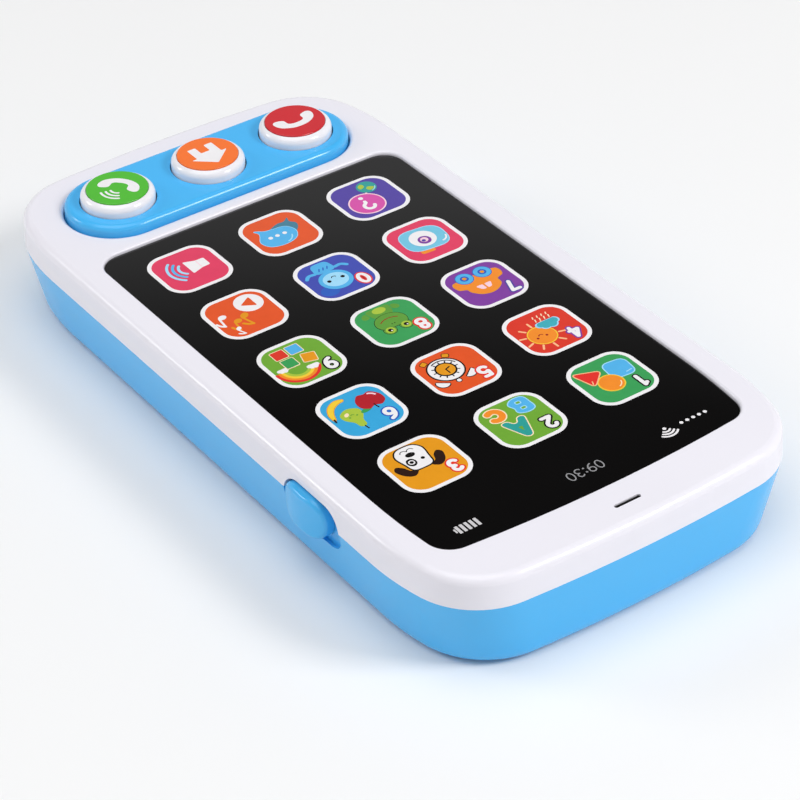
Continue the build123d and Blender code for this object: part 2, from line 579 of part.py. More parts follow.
with BuildPart() as switch_can:
    block(CAN_X, (SWITCH_Y - CAN_HALF_W, SWITCH_Y + CAN_HALF_W), CAN_Z)
    block((CAN_X[1], CAN_X[1] + EAR_T), (SWITCH_Y - EAR_HALF_W, SWITCH_Y + EAR_HALF_W), CAN_Z)
    # slot that the lever runs in
    slot_half = SWITCH_TRAVEL / 2 + LEVER_HALF + 0.15
    block((CAN_X[1] - 1.4, CAN_X[1] + THROUGH), (SWITCH_Y - slot_half, SWITCH_Y + slot_half),
          (STEM_Z - LEVER_HALF - 0.15, STEM_Z + LEVER_HALF + 0.15), Mode.SUBTRACT)
    for y in EARS_Y:
        rod_x(y, EAR_Z, CLEAR_R, (CAN_X[1] - THROUGH, CAN_X[1] + THROUGH), Mode.SUBTRACT)
    for y in PINS_Y:
        block((CAN_X[0] - PIN_L, CAN_X[0] + 0.2), (y - 0.5, y + 0.5), (STEM_Z - 0.15, STEM_Z + 0.15))
save(switch_can.part, "switch_can")

with BuildPart() as switch_screws:
    for y in EARS_Y:
        rod_x(y, EAR_Z, HEAD_R - 0.1, (CAN_X[1] - HEAD_H - 0.1, CAN_X[1]))
        rod_x(y, EAR_Z, SHANK_R, (CAN_X[1] - 0.1, RECESS_X - RECESS_PAD_T - 0.1))
        block((CAN_X[1] - 1.5, CAN_X[1] - 0.5), (y - 2.0, y + 2.0), (EAR_Z - 0.2, EAR_Z + 0.2), Mode.SUBTRACT)
save(switch_screws.part, "switch_screws")

# ---- case screws ------------------------------------------------------------------------------
with BuildPart() as case_screws:
    for x, y in CASE_SCREWS:
        disc(x, y, COUNTERBORE_R - 0.3, (SCREW_SEAT_Z - 1.9, SCREW_SEAT_Z))
        disc(x, y, BOSS_BORE_R - 0.05, (SCREW_SEAT_Z - 0.1, SCREW_SEAT_Z + 9.5))
        cross_recess(x, y, (SCREW_SEAT_Z - 2.5, SCREW_SEAT_Z - 1.1), 1.6, 0.3)
save(case_screws.part, "case_screws")

# ---- battery door -----------------------------------------------------------------------------
with BuildPart() as battery_door:
    block((-DOOR_X, DOOR_X), (BAY_Y[0] - 0.4, DOOR_PIVOT_Y - 0.15), (DOOR_Z, FLOOR_T))
    block((-TONGUE_X, TONGUE_X), (TONGUE_Y, BAY_Y[0]), (DOOR_Z, TONGUE_TOP_Z))
    fillet(battery_door.edges().filter_by(Axis.Z).group_by(Axis.Y)[0], 1.5)
    # tabs that hook over the floor at the hinge end
    for x in TABS_X:
        tab_x = (x - TAB_HALF_W, x + TAB_HALF_W)
        block(tab_x, (BAY_Y[1] - 1.2, DOOR_PIVOT_Y + TAB_REACH), (FLOOR_T + 0.15, FLOOR_T + 1.3))
        block(tab_x, (BAY_Y[1] - 1.2, DOOR_PIVOT_Y - 0.6), (DOOR_Z + 0.5, FLOOR_T + 0.5))
    # counterbored hole for the screw
    disc(0, DOOR_SCREW_Y, 2.5, (-THROUGH, DOOR_SCREW_HEAD_Z[1]), Mode.SUBTRACT)
    disc(0, DOOR_SCREW_Y, 1.3, (0.0, TONGUE_TOP_Z + THROUGH), Mode.SUBTRACT)
    # grip grooves
    for i in range(GRIP_RIBS):
        groove_y = -36.0 + GRIP_PITCH * i
        block((-5.0, 5.0), (groove_y, groove_y + 1.0), (DOOR_Z - THROUGH, DOOR_Z + 0.4), Mode.SUBTRACT)
save(battery_door.part, "battery_door")

with BuildPart() as door_screw:
    disc(0, DOOR_SCREW_Y, 2.2, DOOR_SCREW_HEAD_Z)
    disc(0, DOOR_SCREW_Y, 1.05, (DOOR_SCREW_HEAD_Z[1] - 0.1, 7.4))
    cross_recess(0, DOOR_SCREW_Y, (0.0, 1.0), 1.4, 0.25)
save(door_screw.part, "door_screw")

# ---- cells and contacts -----------------------------------------------------------------------
# the left cell's positive nub meets the +Y contact, the right cell's the bridge at -Y
for name, x, nub_y in (("battery_cell_left", -CELL_X, (CELL_Y[1], CELL_Y[1] + CAP_NUB_L)),
                       ("battery_cell_right", CELL_X, (CELL_Y[0] - CAP_NUB_L, CELL_Y[0]))):
    with BuildPart() as cell:
        rod_y(x, CELL_Z, CELL_R, CELL_Y)
        fillet(cell.edges().filter_by(GeomType.CIRCLE), 0.5)
        rod_y(x, CELL_Z, CAP_NUB_R, nub_y)
    save(cell.part, name)

top_plate_y = (BAY_Y[1] - CONTACT_BACK - CONTACT_T, BAY_Y[1] - CONTACT_BACK)
for name, x in (("positive_contact", -CELL_X), ("negative_contact", CELL_X)):
    with BuildPart() as contact:
        block((x - CONTACT_HALF_W, x + CONTACT_HALF_W), top_plate_y, CONTACT_Z)
        block((x - TAG_HALF_W, x + TAG_HALF_W), (top_plate_y[1] - 0.3, TAG_Y), TAG_Z)
        if name == "positive_contact":
            rod_y(x, CELL_Z, BUMP_R, (CELL_Y[1] + CAP_NUB_L + 0.02, top_plate_y[0]))
    save(contact.part, name)

bridge_y = (BAY_Y[0] + CONTACT_BACK, BAY_Y[0] + CONTACT_BACK + CONTACT_T)
with BuildPart() as bridge_contact:
    block((-CELL_X - CONTACT_HALF_W, CELL_X + CONTACT_HALF_W), bridge_y, CONTACT_Z)
    rod_y(CELL_X, CELL_Z, BUMP_R, (bridge_y[1], CELL_Y[0] - CAP_NUB_L - 0.02))
save(bridge_contact.part, "bridge_contact")

# each spring runs along Y from a contact plate to the flat end of a cell
for name, x, (low_y, high_y) in (("negative_spring", CELL_X, (CELL_Y[1], top_plate_y[0])),
                                 ("bridge_spring", -CELL_X, (bridge_y[1], CELL_Y[0]))):
    coil_l = high_y - low_y - 2 * SPRING_WIRE_R
    with BuildPart() as spring:
        with BuildLine():
            coil = Helix(coil_l / SPRING_TURNS, coil_l, SPRING_R, center=(x, low_y + SPRING_WIRE_R, CELL_Z),
                         direction=(0, 1, 0))
        with BuildSketch(Plane(origin=coil @ 0, z_dir=coil % 0)):
            Circle(SPRING_WIRE_R)
        sweep(is_frenet=True)
    save(spring.part, name)


# ---- speaker ----------------------------------------------------------------------------------
def turned(outline, name):
    """Revolve a closed (radius, z) outline about the speaker's axis."""
    with BuildPart() as piece:
        with BuildSketch(Plane.XZ.offset(-SPEAKER_Y)):
            with BuildLine():
                Polyline(*outline, close=True)
            make_face()
        revolve(axis=Axis((0, SPEAKER_Y, 0), (0, 0, 1)))
    save(piece.part, name)


# stamped basket: flat rim on the seat, cone wall, flat ring under the magnet
turned([(12.6, FLOOR_T), (14.4, FLOOR_T), (14.4, 3.0), (13.4, 3.0), (11.0, 5.6), (8.6, 5.6), (8.6, 5.1),
        (10.6, 5.1), (12.6, 2.9)], "speaker_frame")
# magnet with its pole standing in the voice coil
turned([(0, 4.6), (4.0, 4.6), (4.0, 5.6), (8.4, 5.6), (8.4, 9.0), (0, 9.0)], "speaker_magnet")
# paper cone with a domed cap
turned([(12.5, 2.6), (12.5, 2.9), (5.2, 4.6), (4.2, 4.4), (2.5, 4.0), (0, 3.8), (0, 3.5), (2.6, 3.7),
        (4.4, 4.2), (5.2, 4.3)], "speaker_cone")

with BuildPart() as speaker_retainer:
    disc(0, SPEAKER_Y, RETAINER_R, RETAINER_Z)
    with BuildSketch(Plane.XY.offset(RETAINER_POST_Z)):
        with Locations((0, SPEAKER_Y)):
            SlotOverall(2 * RETAINER_SCREWS_X[1] + 6, 6.0)
    extrude(amount=RETAINER_TOP_Z - RETAINER_POST_Z)
    # skirt that presses on the basket's rim
    with BuildSketch(Plane.XY.offset(RETAINER_SKIRT_Z)):
        with Locations((0, SPEAKER_Y)):
            Circle(RETAINER_SKIRT_R[1])
            Circle(RETAINER_SKIRT_R[0], mode=Mode.SUBTRACT)
    extrude(amount=RETAINER_Z[0] + 0.1 - RETAINER_SKIRT_Z)
    disc(0, SPEAKER_Y, RETAINER_BORE_R, (RETAINER_Z[0] - THROUGH, RETAINER_TOP_Z + THROUGH), Mode.SUBTRACT)
    for x in RETAINER_SCREWS_X:
        disc(x, SPEAKER_Y, CLEAR_R, (RETAINER_Z[0] - THROUGH, RETAINER_TOP_Z + THROUGH), Mode.SUBTRACT)
save(speaker_retainer.part, "speaker_retainer")

with BuildPart() as retainer_screws:
    for x in RETAINER_SCREWS_X:
        small_screw(x, SPEAKER_Y, RETAINER_TOP_Z, 3.4)
save(retainer_screws.part, "retainer_screws")


# ---- wires ------------------------------------------------------------------------------------
def bend_radii(route):
    """The largest even radius that each corner of a route leaves room for."""
    points = [Vector(*point) for point in route]
    radii = []
    for before, here, after in zip(points, points[1:], points[2:]):
        turn = radians((here - before).get_angle(after - here))
        shorter = min((here - before).length, (after - here).length)
        radii.append(BEND_SHARE * shorter / tan(turn / 2))
    return radii


def wire(route, name):
    """Insulated lead along straight runs joined by arcs."""
    radii = bend_radii(route)
    with BuildPart() as lead:
        with BuildLine() as path:
            FilletPolyline(*route, radius=radii)
        with BuildSketch(Plane(origin=path.line @ 0, z_dir=path.line % 0)):
            Circle(WIRE_R)
        sweep()
    length = sum(edge.length for edge in path.line.edges())
    print(f"{name}: length {length:.1f}, tightest bend {min(radii):.1f}, "
          f"volume ratio {lead.part.volume / (pi * WIRE_R**2 * length):.4f}")
    save(lead.part, name)


def to_board(x, y):
    """The last points of a lead that rises into the underside of the main board."""
    return [(x, y + 5.4, 6.6), (x, y + 1.8, 8.3), (x, y, 11.2), (x, y, BOARD_Z)]


tag_z = (TAG_Z[0] + TAG_Z[1]) / 2
pin_x = CAN_X[0] - PIN_L
wire([(-CELL_X, TAG_Y, tag_z), (-CELL_X, 17.2, tag_z), (-3.6, 20.0, 9.6), (1.5, 21.6, 10.0), (10.5, 22.6, 10.8),
      (17.0, 25.6, 11.8), (20.4, 29.4, 12.4), (23.1, PINS_Y[0], STEM_Z), (pin_x, PINS_Y[0], STEM_Z)],
     "wire_cell_to_switch")
wire([(CELL_X, TAG_Y, tag_z), (CELL_X, 17.0, tag_z), (8.3, 19.6, 9.2), (11.9, 19.9, 8.6), (15.2, 17.0, 7.6),
      (16.9, 10.0, 6.6), (16.6, -4.0, 5.8), (17.1, -19.0, 5.6), (16.8, -34.0, 5.9)] + to_board(15.5, -51.5),
     "wire_cell_to_board")
wire([(pin_x, PINS_Y[1], STEM_Z), (23.0, PINS_Y[1], STEM_Z), (20.2, 33.6, 10.8), (20.0, 29.4, 8.9),
      (20.8, 22.0, 7.4), (20.4, 8.0, 6.8), (20.9, -8.0, 6.4), (20.3, -24.0, 6.3), (20.0, -37.0, 6.5)]
     + to_board(18.8, -53.5), "wire_switch_to_board")
wire([(-9.3, 38.5, 5.6), (-9.3, 38.5, 9.3), (-10.9, 36.4, 12.0), (-13.5, 32.6, 13.2), (-17.0, 26.5, 12.4),
      (-19.2, 17.0, 10.0), (-19.6, 4.0, 7.8), (-19.0, -10.0, 6.8), (-19.6, -24.0, 6.3), (-19.0, -37.0, 6.5)]
     + to_board(-18.2, -53.5), "wire_speaker_inner")
wire([(-9.3, 45.5, 5.6), (-9.3, 45.5, 9.3), (-11.4, 44.0, 12.0), (-15.2, 41.0, 13.2), (-19.8, 34.5, 12.4),
      (-22.0, 24.0, 10.2), (-22.3, 10.0, 8.0), (-21.9, -4.0, 6.9), (-22.1, -18.0, 6.3), (-21.4, -33.0, 6.4)]
     + to_board(-21.4, -52.0), "wire_speaker_outer")
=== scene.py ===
import json
import math

import bmesh
import bpy
from mathutils import Matrix, Vector
from mathutils.geometry import tessellate_polygon


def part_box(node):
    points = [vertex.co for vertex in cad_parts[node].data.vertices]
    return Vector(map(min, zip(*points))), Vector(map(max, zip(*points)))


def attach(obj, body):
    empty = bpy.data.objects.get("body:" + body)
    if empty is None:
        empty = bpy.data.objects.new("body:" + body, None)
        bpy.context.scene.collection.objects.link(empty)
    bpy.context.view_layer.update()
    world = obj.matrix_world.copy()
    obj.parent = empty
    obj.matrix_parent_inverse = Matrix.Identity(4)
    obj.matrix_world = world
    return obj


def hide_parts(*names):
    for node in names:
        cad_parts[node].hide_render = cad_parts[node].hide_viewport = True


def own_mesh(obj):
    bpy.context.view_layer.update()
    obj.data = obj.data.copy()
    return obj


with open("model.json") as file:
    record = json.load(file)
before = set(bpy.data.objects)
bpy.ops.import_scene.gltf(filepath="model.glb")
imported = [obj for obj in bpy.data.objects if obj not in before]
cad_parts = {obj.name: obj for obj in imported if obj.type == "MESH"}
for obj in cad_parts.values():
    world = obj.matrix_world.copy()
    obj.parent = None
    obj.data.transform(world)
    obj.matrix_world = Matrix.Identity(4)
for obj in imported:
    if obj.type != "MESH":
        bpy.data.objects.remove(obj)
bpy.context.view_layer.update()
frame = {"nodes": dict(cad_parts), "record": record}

MM = 0.001
NODES = frame["nodes"]


# ---- places taken from the frame -------------------------------------------------------------
def middle(node):
    """Middle of a CAD node's box."""
    low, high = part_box(node)
    return (low + high) / 2


def top(node):
    """Height of a CAD node's highest point."""
    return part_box(node)[1].z


SCREEN_TOP = top("screen_panel")
SCREEN_MID = middle("screen_panel")
SCREEN_HIGH_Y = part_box("screen_panel")[1].y
ICON_PITCH_X = 20.5 * MM
ICON_PITCH_Y = 18.99 * MM
TOP_ROW_Y = SCREEN_HIGH_Y - 24.0 * MM      # middle of the row of icons 1 to 3
STATUS_Y = SCREEN_HIGH_Y - 6.45 * MM       # middle of the line with the clock


# ---- colours ---------------------------------------------------------------------------------
def srgb(red, green, blue):
    """Linear colour from 0-255 display values."""
    def linear(value):
        share = value / 255
        return share / 12.92 if share <= 0.04045 else ((share + 0.055) / 1.055) ** 2.4
    return linear(red), linear(green), linear(blue)


INKS = {
    "white": (240, 238, 240), "black": (22, 20, 20), "grey": (150, 150, 152), "silver": (206, 204, 206),
    "green": (60, 158, 88), "leaf": (112, 168, 56), "moss": (96, 156, 60), "lime": (170, 196, 66),
    "amber": (228, 152, 30), "orange": (242, 142, 44), "yellow": (244, 204, 60), "cream": (252, 226, 190),
    "red": (218, 58, 42), "vermilion": (226, 86, 38), "scarlet": (226, 52, 44), "crimson": (178, 34, 44),
    "dark_red": (150, 30, 34), "brown": (46, 27, 20), "peach": (250, 190, 140), "pink": (214, 82, 168),
    "pale_pink": (250, 210, 222), "rose": (224, 62, 98), "purple": (128, 62, 158), "violet": (82, 66, 160),
    "indigo": (66, 78, 176), "deep_blue": (48, 96, 190), "sky": (58, 166, 218), "azure": (84, 178, 232),
    "aqua": (116, 196, 224), "pale_blue": (160, 218, 246), "slate": (70, 126, 150), "teal": (48, 158, 150),
    "lagoon": (66, 172, 186),
}


# ---- materials -------------------------------------------------------------------------------
PLASTIC_IOR = 1.49
SMOOTHEST = 0.02            # no surface is given less roughness than this
PATCH_DETAIL = 3.0
GRAIN_DETAIL = 4.0
BUMP_STRENGTH = 0.6


def noise(tree, vector, scale, detail):
    """A noise texture's output; scale is in features per metre."""
    node = tree.nodes.new("ShaderNodeTexNoise")
    node.inputs["Scale"].default_value = scale
    node.inputs["Detail"].default_value = detail
    tree.links.new(vector, node.inputs["Vector"])
    return node.outputs["Fac"]


def add_tint(tree, shader, drift, colour, spread):
    """Let the colour wander by a share of itself."""
    tint = tree.nodes.new("ShaderNodeMix")
    tint.data_type = "RGBA"
    tint.inputs["A"].default_value = (*[c * (1 - spread) for c in colour], 1)
    tint.inputs["B"].default_value = (*[min(1, c * (1 + spread)) for c in colour], 1)
    tree.links.new(drift, tint.inputs["Factor"])
    tree.links.new(tint.outputs["Result"], shader.inputs["Base Color"])


def add_gloss(tree, shader, drift, roughness, spread):
    """Let the roughness wander by an amount either way."""
    gloss = tree.nodes.new("ShaderNodeMapRange")
    gloss.inputs["From Min"].default_value = 0.0
    gloss.inputs["From Max"].default_value = 1.0
    gloss.inputs["To Min"].default_value = max(SMOOTHEST, roughness - spread)
    gloss.inputs["To Max"].default_value = roughness + spread
    tree.links.new(drift, gloss.inputs["Value"])
    tree.links.new(gloss.outputs["Result"], shader.inputs["Roughness"])


def add_relief(tree, shader, fine, depth):
    """Raise and lower the surface by a fine grain."""
    bump = tree.nodes.new("ShaderNodeBump")
    bump.inputs["Distance"].default_value = depth
    bump.inputs["Strength"].default_value = BUMP_STRENGTH
    tree.links.new(fine, bump.inputs["Height"])
    tree.links.new(bump.outputs["Normal"], shader.inputs["Normal"])


def surface(name, colour, roughness=0.3, spread=0.03, patch=60.0, rough_spread=0.05, grain=900.0,
            relief=0.0, metallic=0.0, stretch=(1.0, 1.0, 1.0)):
    """Moulded, printed or metal surface: its colour and gloss drift a little over patches, and its relief
    follows a finer grain. patch and grain are features per metre, relief is a depth in metres."""
    mat = bpy.data.materials.new(name)
    mat.use_nodes = True
    tree = mat.node_tree
    shader = tree.nodes["Principled BSDF"]
    shader.inputs["Metallic"].default_value = metallic
    shader.inputs["IOR"].default_value = PLASTIC_IOR

    place = tree.nodes.new("ShaderNodeTexCoord")
    mapping = tree.nodes.new("ShaderNodeMapping")
    mapping.inputs["Scale"].default_value = stretch
    tree.links.new(place.outputs["Object"], mapping.inputs["Vector"])
    vector = mapping.outputs["Vector"]

    drift = noise(tree, vector, patch, PATCH_DETAIL)
    add_tint(tree, shader, drift, colour, spread)
    add_gloss(tree, shader, drift, roughness, rough_spread)
    if relief:
        add_relief(tree, shader, noise(tree, vector, grain, GRAIN_DETAIL), relief)
    return mat


def print_ink(name):
    """Ink seen through the clear front of the panel or a label, so it shares that face's gloss."""
    return surface(f"ink_{name}", srgb(*INKS[name]), roughness=0.12, spread=0.06, patch=420.0,
                   rough_spread=0.03)


def abs_plastic(name, colour, roughness, relief=4e-6):
    """Polished ABS: faint orange peel, and a gloss that wanders a little as on any moulded shell."""
    return surface(name, srgb(*colour), roughness=roughness, spread=0.02, patch=35.0, rough_spread=0.05,
                   grain=420.0, relief=relief)


def label_print(name, *colour):
    """The coloured disc in a button's cap."""
    return surface(name, srgb(*colour), roughness=0.18, patch=300.0)


def pvc(name, *colour):
    """Insulation of a wire."""
    return surface(name, srgb(*colour), roughness=0.45, patch=300.0, relief=8e-6, grain=1500.0)


FINISHES = {
    "white_case": abs_plastic("white_abs", (236, 234, 242), 0.24),
    "white_cap": abs_plastic("white_cap_abs", (240, 239, 244), 0.14, 2e-6),
    "blue_case": abs_plastic("blue_abs", (70, 182, 244), 0.22),
    "screen_black": surface("black_panel", srgb(9, 8, 8), roughness=0.06, spread=0.2, patch=25.0,
                            rough_spread=0.03),
    "label_green": label_print("green_label", 78, 186, 46),
    "label_orange": label_print("orange_label", 247, 116, 38),
    "label_red": label_print("red_label", 206, 28, 40),
    "dome_rubber": surface("silicone", srgb(186, 186, 190), roughness=0.6, grain=2000.0, relief=1e-5),
    "circuit_board": surface("solder_mask", srgb(34, 112, 62), roughness=0.35, spread=0.25, patch=900.0,
                             grain=1500.0, relief=1.5e-5),
    "black_epoxy": surface("epoxy", srgb(20, 20, 22), roughness=0.3, relief=2e-5, grain=500.0),
    "capacitor_sleeve": surface("sleeve", srgb(30, 38, 84), roughness=0.3, relief=1e-5, grain=700.0),
    "chip_body": surface("chip_moulding", srgb(34, 34, 36), roughness=0.55, relief=1e-5, grain=3000.0),
    "connector_plastic": surface("nylon", srgb(236, 230, 212), roughness=0.45, relief=8e-6, grain=1200.0),
    "sensor_film": surface("film", srgb(214, 204, 160), roughness=0.35, spread=0.1, patch=600.0),
    "steel": surface("plated_steel", srgb(206, 206, 208), roughness=0.3, metallic=1.0, rough_spread=0.1,
                     patch=800.0, relief=6e-6, grain=2500.0),
    "spring_steel": surface("nickel_plate", srgb(222, 220, 214), roughness=0.22, metallic=1.0,
                            patch=800.0, relief=4e-6, grain=2500.0, stretch=(1.0, 0.2, 1.0)),
    "magnet_steel": surface("zinc_plate", srgb(184, 186, 190), roughness=0.4, metallic=1.0,
                            patch=500.0, relief=1e-5, grain=1800.0),
    "paper_cone": surface("paper", srgb(54, 52, 50), roughness=0.85, spread=0.25, patch=1500.0,
                          grain=2600.0, relief=4e-5),
    "cell_jacket": surface("cell_sleeve", srgb(74, 128, 122), roughness=0.22, patch=120.0, relief=4e-6),
    "lever_black": surface("acetal", srgb(26, 26, 28), roughness=0.4, relief=6e-6),
    "wire_red": pvc("red_pvc", 196, 40, 36),
    "wire_black": pvc("black_pvc", 30, 30, 32),
    "wire_yellow": pvc("yellow_pvc", 222, 190, 50),
}
for row in frame["record"]["subparts"]:
    for material_slot in NODES[row["node"]].material_slots:
        material_slot.material = FINISHES[row["material_slot"]]


# ---- flat outlines, in millimetres -----------------------------------------------------------
def turned(points, angle, x=0.0, y=0.0):
    """Points turned by an angle in degrees about (0, 0), then moved to (x, y)."""
    c, s = math.cos(math.radians(angle)), math.sin(math.radians(angle))
    return [(x + c * px - s * py, y + s * px + c * py) for px, py in points]


def arc(x, y, r, start, end, steps=18):
    """Points along an arc, angles in degrees."""
    angles = [math.radians(start + (end - start) * i / steps) for i in range(steps + 1)]
    return [(x + r * math.cos(a), y + r * math.sin(a)) for a in angles]


def oval(x, y, rx, ry=None, turn=0.0, steps=44):
    """A circle, or an ellipse turned by an angle."""
    ry = rx if ry is None else ry
    points = [(rx * math.cos(2 * math.pi * i / steps), ry * math.sin(2 * math.pi * i / steps))
              for i in range(steps)]
    return turned(points, turn, x, y)


LONGEST_EASING = 0.48        # share of a side that the easing of one corner may take


def rounded(corners, r, steps=6):
    """A polygon whose corners are eased over a length r, or less where a side is short."""
    points = []
    count = len(corners)
    for i, corner in enumerate(corners):
        here = Vector(corner)
        arms = [Vector(corners[i - 1]) - here, Vector(corners[(i + 1) % count]) - here]
        start, end = [here + arm.normalized() * min(r, LONGEST_EASING * arm.length) for arm in arms]
        for k in range(steps + 1):
            t = k / steps
            points.append(tuple(start * (1 - t) ** 2 + here * (2 * t * (1 - t)) + end * t**2))
    return points


def slab(x, y, w, h, r=0.0, turn=0.0):
    """A rectangle about (x, y) with corners of radius r."""
    corners = [(-w / 2, -h / 2), (w / 2, -h / 2), (w / 2, h / 2), (-w / 2, h / 2)]
    return turned(rounded(corners, r) if r else corners, turn, x, y)


def squircle(half, r):
    """A square with circular corners."""
    c = half - r
    corners = ((c, c, 0), (-c, c, 90), (-c, -c, 180), (c, -c, 270))
    return [p for x, y, a in corners for p in arc(x, y, r, a, a + 90, 12)]


def smooth(points, closed=True, steps=6):
    """A smooth line through the points (Catmull-Rom)."""
    count = len(points)

    def point(i):
        return Vector(points[i % count if closed else min(max(i, 0), count - 1)])

    result = []
    for i in range(count if closed else count - 1):
        a, b, c, d = [point(i + k) for k in (-1, 0, 1, 2)]
        for k in range(steps):
            t = k / steps
            result.append(tuple(0.5 * (2 * b + (c - a) * t + (2 * a - 5 * b + 4 * c - d) * t**2
                                       + (3 * b - a - 3 * c + d) * t**3)))
    if not closed:
        result.append(tuple(points[-1]))
    return result


def stroke(points, width, cap_steps=8):
    """Outline of a thick line with round ends."""
    line = [Vector(p) for p in points]
    sides = []
    for i in range(len(line)):
        along = (line[min(i + 1, len(line) - 1)] - line[max(i - 1, 0)]).normalized()
        sides.append(Vector((-along.y, along.x)) * (width / 2))
    left = [tuple(p + s) for p, s in zip(line, sides)]
    right = [tuple(p - s) for p, s in zip(line, sides)]
    end_angle = math.degrees(math.atan2(sides[-1].y, sides[-1].x))
    start_angle = math.degrees(math.atan2(-sides[0].y, -sides[0].x))
    end_cap = arc(*line[-1], width / 2, end_angle, end_angle - 180, cap_steps)[1:-1]
    start_cap = arc(*line[0], width / 2, start_angle, start_angle - 180, cap_steps)[1:-1]
    return left + end_cap + right[::-1] + start_cap


def grown(outline, margin):
    """An outline pushed outwards all round by a small margin."""
    points = [Vector(p) for p in outline]
    count = len(points)
    area = sum(points[i - 1].cross(points[i]) for i in range(count))
    sign = 1 if area > 0 else -1
    result = []
    for i in range(count):
        along = points[(i + 1) % count] - points[i - 1]
        normal = Vector((along.y, -along.x)).normalized() if along.length else Vector((0, 0))
        result.append(tuple(points[i] + normal * margin * sign))
    return result


# ---- printed artwork -------------------------------------------------------------------------
STEP = 0.008 * MM           # each ink layer stands this much above the one it covers
SINK = 0.03 * MM            # and every tile reaches this far into the face below
INK_MATERIALS = {name: print_ink(name) for name in INKS}


class Artwork:
    """A printed picture on a flat face: thin closed tiles, each a step above those it overlaps."""

    def __init__(self, name, x, y, face_z):
        self.name, self.x, self.y, self.face_z = name, x, y, face_z
        self.bm = bmesh.new()
        self.inks = []
        self.drawn = []

    def level(self, outline):
        """One more than the highest tile whose box this outline meets."""
        xs, ys = zip(*outline)
        box = (min(xs), min(ys), max(xs), max(ys))
        under = [lv for lv, b in self.drawn
                 if b[0] < box[2] and box[0] < b[2] and b[1] < box[3] and box[1] < b[3]]
        level = 1 + max(under, default=0)
        self.drawn.append((level, box))
        return level

    def draw(self, ink, outline, *holes):
        """Add a tile of one ink, with any holes through it."""
        if ink not in self.inks:
            self.inks.append(ink)
        high_z = self.face_z + STEP * self.level(outline)
        loops = [outline, *holes]
        low = self.place(loops, self.face_z - SINK)
        high = self.place(loops, high_z)
        faces = self.cap(loops, low) + self.cap(loops, high) + self.walls(low, high)
        for face in faces:
            face.material_index = self.inks.index(ink)
        bmesh.ops.recalc_face_normals(self.bm, faces=faces)

    def place(self, loops, z):
        """Vertices of every loop at one height."""
        return [[self.bm.verts.new((self.x + x * MM, self.y + y * MM, z)) for x, y in loop]
                for loop in loops]

    def cap(self, loops, ring):
        """Faces that fill the loops at one height, around the holes."""
        verts = [vert for loop in ring for vert in loop]
        flat = [[Vector((x, y, 0)) for x, y in loop] for loop in loops]
        return [self.bm.faces.new([verts[i] for i in triangle]) for triangle in tessellate_polygon(flat)]

    def walls(self, low, high):
        """Faces between the low and the high loops."""
        return [self.bm.faces.new((below[i - 1], below[i], above[i], above[i - 1]))
                for below, above in zip(low, high) for i in range(len(below))]

    def edged(self, ink, edge_ink, outline, margin):
        """A shape with a line of another ink round it."""
        self.draw(edge_ink, grown(outline, margin))
        self.draw(ink, outline)

    def line(self, ink, points, width):
        """A thick line with round ends."""
        self.draw(ink, stroke(points, width))

    def finish(self, body):
        """Make the piece, on its body and with a material slot for each of its inks."""
        mesh = bpy.data.meshes.new(self.name)
        self.bm.to_mesh(mesh)
        self.bm.free()
        for ink in self.inks:
            mesh.materials.append(INK_MATERIALS[ink])
        piece = bpy.data.objects.new(self.name, mesh)
        bpy.context.scene.collection.objects.link(piece)
        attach(piece, body)
        return piece


# each digit is a list of open lines and of rings (x, y, rx, ry) in a cell one wide and 1.6 high
DIGITS = {
    "0": [(0.0, 0.0, 0.44, 0.76)],
    "1": [[(-0.24, 0.52), (0.1, 0.78)], [(0.1, 0.78), (0.1, -0.78)]],
    "2": [arc(0.0, 0.34, 0.42, 165, -35) + [(-0.05, -0.33), (-0.42, -0.76)],
          [(-0.42, -0.76), (0.44, -0.76)]],
    "3": [arc(-0.04, 0.38, 0.38, 150, -80), arc(-0.04, -0.35, 0.42, 85, -150)],
    "4": [[(0.2, 0.78), (0.2, -0.78)], [(0.2, 0.78), (-0.46, -0.3)], [(-0.46, -0.3), (0.48, -0.3)]],
    "5": [[(0.38, 0.76), (-0.28, 0.76)], [(-0.28, 0.76), (-0.34, 0.1)],
          arc(-0.02, -0.28, 0.46, 130, -150)],
    "6": [(0.0, -0.32, 0.42, 0.44),
          smooth([(-0.42, -0.32), (-0.34, 0.2), (-0.06, 0.6), (0.3, 0.78)], False)],
    "7": [[(-0.42, 0.76), (0.42, 0.76)], [(0.42, 0.76), (-0.1, -0.78)]],
    "8": [(0.0, 0.39, 0.35, 0.37), (0.0, -0.36, 0.42, 0.42)],
    "9": [(0.0, 0.32, 0.42, 0.44),
          smooth([(0.42, 0.32), (0.34, -0.2), (0.06, -0.6), (-0.3, -0.78)], False)],
}
SMALLEST_HOLE = 0.05         # radius left open in a ring, however wide its line is
KEY_DIGIT = {"x": -3.75, "y": 3.55, "size": 1.9}
KEY_DIGIT_WIDTH = 0.78
KEY_EDGE_WIDTH = 1.4


def digit(art, value, x, y, size, width, ink="white"):
    """One digit about (x, y); size is the width of its cell."""
    for part in DIGITS[value]:
        if isinstance(part, tuple):
            cx, cy, rx, ry = [v * size for v in part]
            hole = [max(r - width / 2, SMALLEST_HOLE) for r in (rx, ry)]
            art.draw(ink, oval(x + cx, y + cy, rx + width / 2, ry + width / 2), oval(x + cx, y + cy, *hole))
        else:
            art.line(ink, [(x + px * size, y + py * size) for px, py in part], width)


def key_digit(art, value, edge_ink):
    """The white digit in an icon's upper left corner, with a line of another ink round it."""
    digit(art, value, width=KEY_EDGE_WIDTH, ink=edge_ink, **KEY_DIGIT)
    digit(art, value, width=KEY_DIGIT_WIDTH, **KEY_DIGIT)


